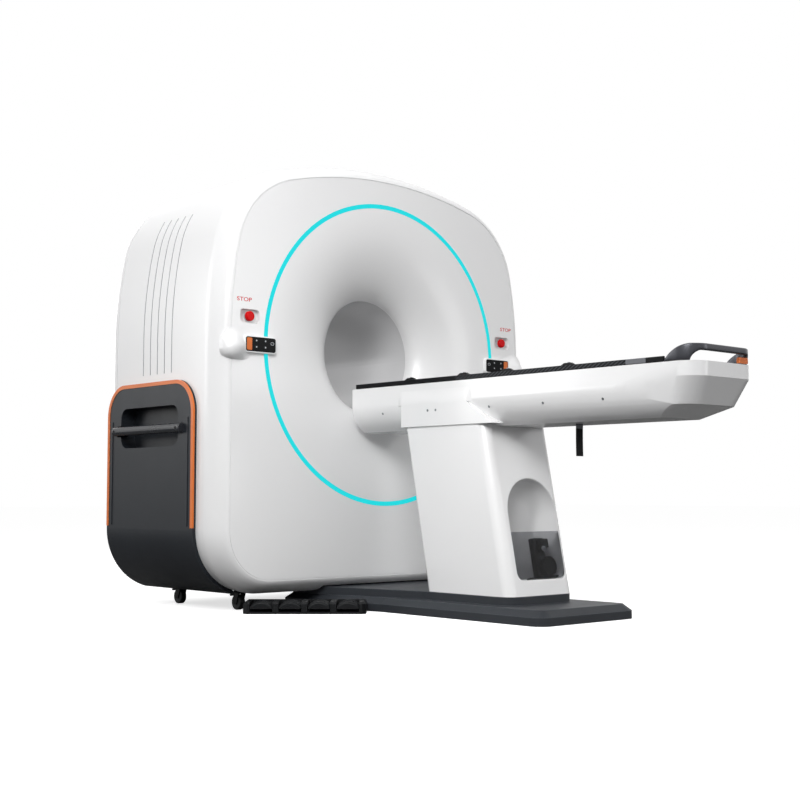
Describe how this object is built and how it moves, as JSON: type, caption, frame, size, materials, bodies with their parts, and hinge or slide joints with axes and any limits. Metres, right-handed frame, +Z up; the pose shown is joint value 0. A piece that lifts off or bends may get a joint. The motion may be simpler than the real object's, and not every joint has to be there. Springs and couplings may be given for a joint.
{
  "type": "ct scanner",
  "caption": "Ring-shaped imaging gantry on casters with a lit ring round its bore, a sliding patient table on a leaning pedestal, side handles and a foot switch.",
  "frame": {"origin": "on the floor, under the middle of the gantry's front face", "axes": "+Z up, +Y along the bore from the table into the gantry, +X to the right seen from the table"},
  "size_m": [1.634, 2.312, 1.694],
  "materials": {
    "white_cover": "gloss",
    "light_ring": "polished",
    "bore_lining": "gloss",
    "dark_panel": "matte",
    "orange_trim": "gloss",
    "handle_grip": "matte",
    "black_plastic": "matte",
    "panel_face": "gloss",
    "key_orange": "gloss",
    "stop_red": "gloss",
    "frame_steel": "satin",
    "bearing_steel": "satin",
    "rotor_alloy": "satin",
    "housing_grey": "satin",
    "slip_ring_copper": "satin",
    "belt_rubber": "matte",
    "motor_paint": "satin",
    "caster_fork": "satin",
    "caster_tyre": "matte",
    "floor_casting": "satin",
    "pedestal_white": "gloss",
    "pocket_grey": "gloss",
    "smoked_window": "polished",
    "column_steel": "satin",
    "hull_white": "gloss",
    "deck_alloy": "satin",
    "carbon_board": "gloss",
    "end_handle_grey": "satin",
    "webbing": "matte",
    "pedal_rubber": "matte"
  },
  "bodies": {
    "gantry": {"front_cover": "white_cover", "light_ring": "light_ring", "bore_liner": "bore_lining", "wrap_cover": "white_cover", "rear_cover": "white_cover", "side_panel_left": "dark_panel", "side_panel_right": "dark_panel", "panel_trims": "orange_trim", "carry_handles": "handle_grip", "control_pods": "white_cover", "control_panels": "panel_face", "base_frame": "frame_steel", "stator_frame": "frame_steel", "bearing_outer_race": "bearing_steel", "brush_block": "black_plastic", "drive_motor": "motor_paint", "drive_belt": "belt_rubber", "power_unit": "housing_grey", "cooling_fans": "black_plastic", "floor_plate": "floor_casting", "pedestal_cover": "pedestal_white", "pocket_liner": "pocket_grey", "pocket_window": "smoked_window", "hand_controller": "black_plastic", "column_outer": "column_steel", "lift_motor": "motor_paint", "foot_switch_base": "black_plastic"},
    "rotor": {"rotor_drum": "rotor_alloy", "bearing_inner_race": "bearing_steel", "xray_tube": "housing_grey", "rotor_cabinets": "housing_grey", "detector_arc": "housing_grey", "slip_ring": "slip_ring_copper"},
    "motor_pulley": {"drive_pulley": "bearing_steel"},
    "table_lift": {"column_inner": "column_steel", "table_hull": "hull_white", "table_deck": "deck_alloy", "strap": "webbing"},
    "tabletop": {"tabletop": "carbon_board", "slide_carriage": "deck_alloy", "side_rails": "black_plastic", "rail_clips": "black_plastic", "end_handle": "end_handle_grey"},
    "release_lever": {"release_lever": "key_orange"},
    "stop_button_left": {"stop_button_left": "stop_red"},
    "move_key_left": {"move_key_left": "key_orange"},
    "stop_button_right": {"stop_button_right": "stop_red"},
    "move_key_right": {"move_key_right": "key_orange"},
    "foot_pedal_1": {"foot_pedal_1": "pedal_rubber"},
    "foot_pedal_2": {"foot_pedal_2": "pedal_rubber"},
    "foot_pedal_3": {"foot_pedal_3": "pedal_rubber"},
    "foot_pedal_4": {"foot_pedal_4": "pedal_rubber"},
    "caster_swivel_front_left": {"caster_fork_front_left": "caster_fork"},
    "caster_wheel_front_left": {"caster_wheel_front_left": "caster_tyre"},
    "caster_swivel_front_right": {"caster_fork_front_right": "caster_fork"},
    "caster_wheel_front_right": {"caster_wheel_front_right": "caster_tyre"},
    "caster_swivel_rear_left": {"caster_fork_rear_left": "caster_fork"},
    "caster_wheel_rear_left": {"caster_wheel_rear_left": "caster_tyre"},
    "caster_swivel_rear_right": {"caster_fork_rear_right": "caster_fork"},
    "caster_wheel_rear_right": {"caster_wheel_rear_right": "caster_tyre"}
  },
  "joints": [
    {"name": "rotor_spin", "type": "hinge", "parent": "gantry", "child": "rotor", "pos_m": [0, 0.395, 0.965], "axis": [0, 1, 0], "continuous": true},
    {"name": "pulley_spin", "type": "hinge", "parent": "gantry", "child": "motor_pulley", "pos_m": [0.47566, 0.349, 0.39813], "axis": [0, 1, 0], "continuous": true},
    {"name": "table_height", "type": "slide", "parent": "gantry", "child": "table_lift", "axis": [0, 0.1972, 0.9804], "range_m": [-0.03, 0.02]},
    {"name": "tabletop_travel", "type": "slide", "parent": "table_lift", "child": "tabletop", "axis": [0, 1, 0], "range_m": [0, 1.1]},
    {"name": "lever_pull", "type": "hinge", "parent": "tabletop", "child": "release_lever", "pos_m": [0.102, -1.549, 0.836], "axis": [1, 0, 0], "range_deg": [-20, 0], "stiffness_Nm_per_rad": 1},
    {"name": "stop_press_left", "type": "slide", "parent": "gantry", "child": "stop_button_left", "axis": [0, 1, 0], "range_m": [0, 0.005], "stiffness_N_per_m": 2000},
    {"name": "key_press_left", "type": "slide", "parent": "gantry", "child": "move_key_left", "axis": [0, 1, 0], "range_m": [0, 0.0012], "stiffness_N_per_m": 1500},
    {"name": "stop_press_right", "type": "slide", "parent": "gantry", "child": "stop_button_right", "axis": [0, 1, 0], "range_m": [0, 0.005], "stiffness_N_per_m": 2000},
    {"name": "key_press_right", "type": "slide", "parent": "gantry", "child": "move_key_right", "axis": [0, 1, 0], "range_m": [0, 0.0012], "stiffness_N_per_m": 1500},
    {"name": "pedal_press_1", "type": "hinge", "parent": "gantry", "child": "foot_pedal_1", "pos_m": [-0.54386, 0.04754, 0.022], "axis": [0.7431, -0.6691, 0], "range_deg": [0, 4], "stiffness_Nm_per_rad": 20},
    {"name": "pedal_press_2", "type": "hinge", "parent": "gantry", "child": "foot_pedal_2", "pos_m": [-0.46806, -0.02072, 0.022], "axis": [0.7431, -0.6691, 0], "range_deg": [0, 4], "stiffness_Nm_per_rad": 20},
    {"name": "pedal_press_3", "type": "hinge", "parent": "gantry", "child": "foot_pedal_3", "pos_m": [-0.39226, -0.08897, 0.022], "axis": [0.7431, -0.6691, 0], "range_deg": [0, 4], "stiffness_Nm_per_rad": 20},
    {"name": "pedal_press_4", "type": "hinge", "parent": "gantry", "child": "foot_pedal_4", "pos_m": [-0.31645, -0.15722, 0.022], "axis": [0.7431, -0.6691, 0], "range_deg": [0, 4], "stiffness_Nm_per_rad": 20},
    {"name": "swivel_front_left", "type": "hinge", "parent": "gantry", "child": "caster_swivel_front_left", "pos_m": [-0.57, 0.152, 0.095], "axis": [0, 0, 1], "continuous": true},
    {"name": "roll_front_left", "type": "hinge", "parent": "caster_swivel_front_left", "child": "caster_wheel_front_left", "pos_m": [-0.57, 0.17, 0.028], "axis": [1, 0, 0], "continuous": true},
    {"name": "swivel_front_right", "type": "hinge", "parent": "gantry", "child": "caster_swivel_front_right", "pos_m": [0.57, 0.152, 0.095], "axis": [0, 0, 1], "continuous": true},
    {"name": "roll_front_right", "type": "hinge", "parent": "caster_swivel_front_right", "child": "caster_wheel_front_right", "pos_m": [0.57, 0.17, 0.028], "axis": [1, 0, 0], "continuous": true},
    {"name": "swivel_rear_left", "type": "hinge", "parent": "gantry", "child": "caster_swivel_rear_left", "pos_m": [-0.57, 0.542, 0.095], "axis": [0, 0, 1], "continuous": true},
    {"name": "roll_rear_left", "type": "hinge", "parent": "caster_swivel_rear_left", "child": "caster_wheel_rear_left", "pos_m": [-0.57, 0.56, 0.028], "axis": [1, 0, 0], "continuous": true},
    {"name": "swivel_rear_right", "type": "hinge", "parent": "gantry", "child": "caster_swivel_rear_right", "pos_m": [0.57, 0.542, 0.095], "axis": [0, 0, 1], "continuous": true},
    {"name": "roll_rear_right", "type": "hinge", "parent": "caster_swivel_rear_right", "child": "caster_wheel_rear_right", "pos_m": [0.57, 0.56, 0.028], "axis": [1, 0, 0], "continuous": true}
  ],
  "couplings": [
    {"joint": "pulley_spin", "follows": "rotor_spin", "ratio": 10.833}
  ]
}
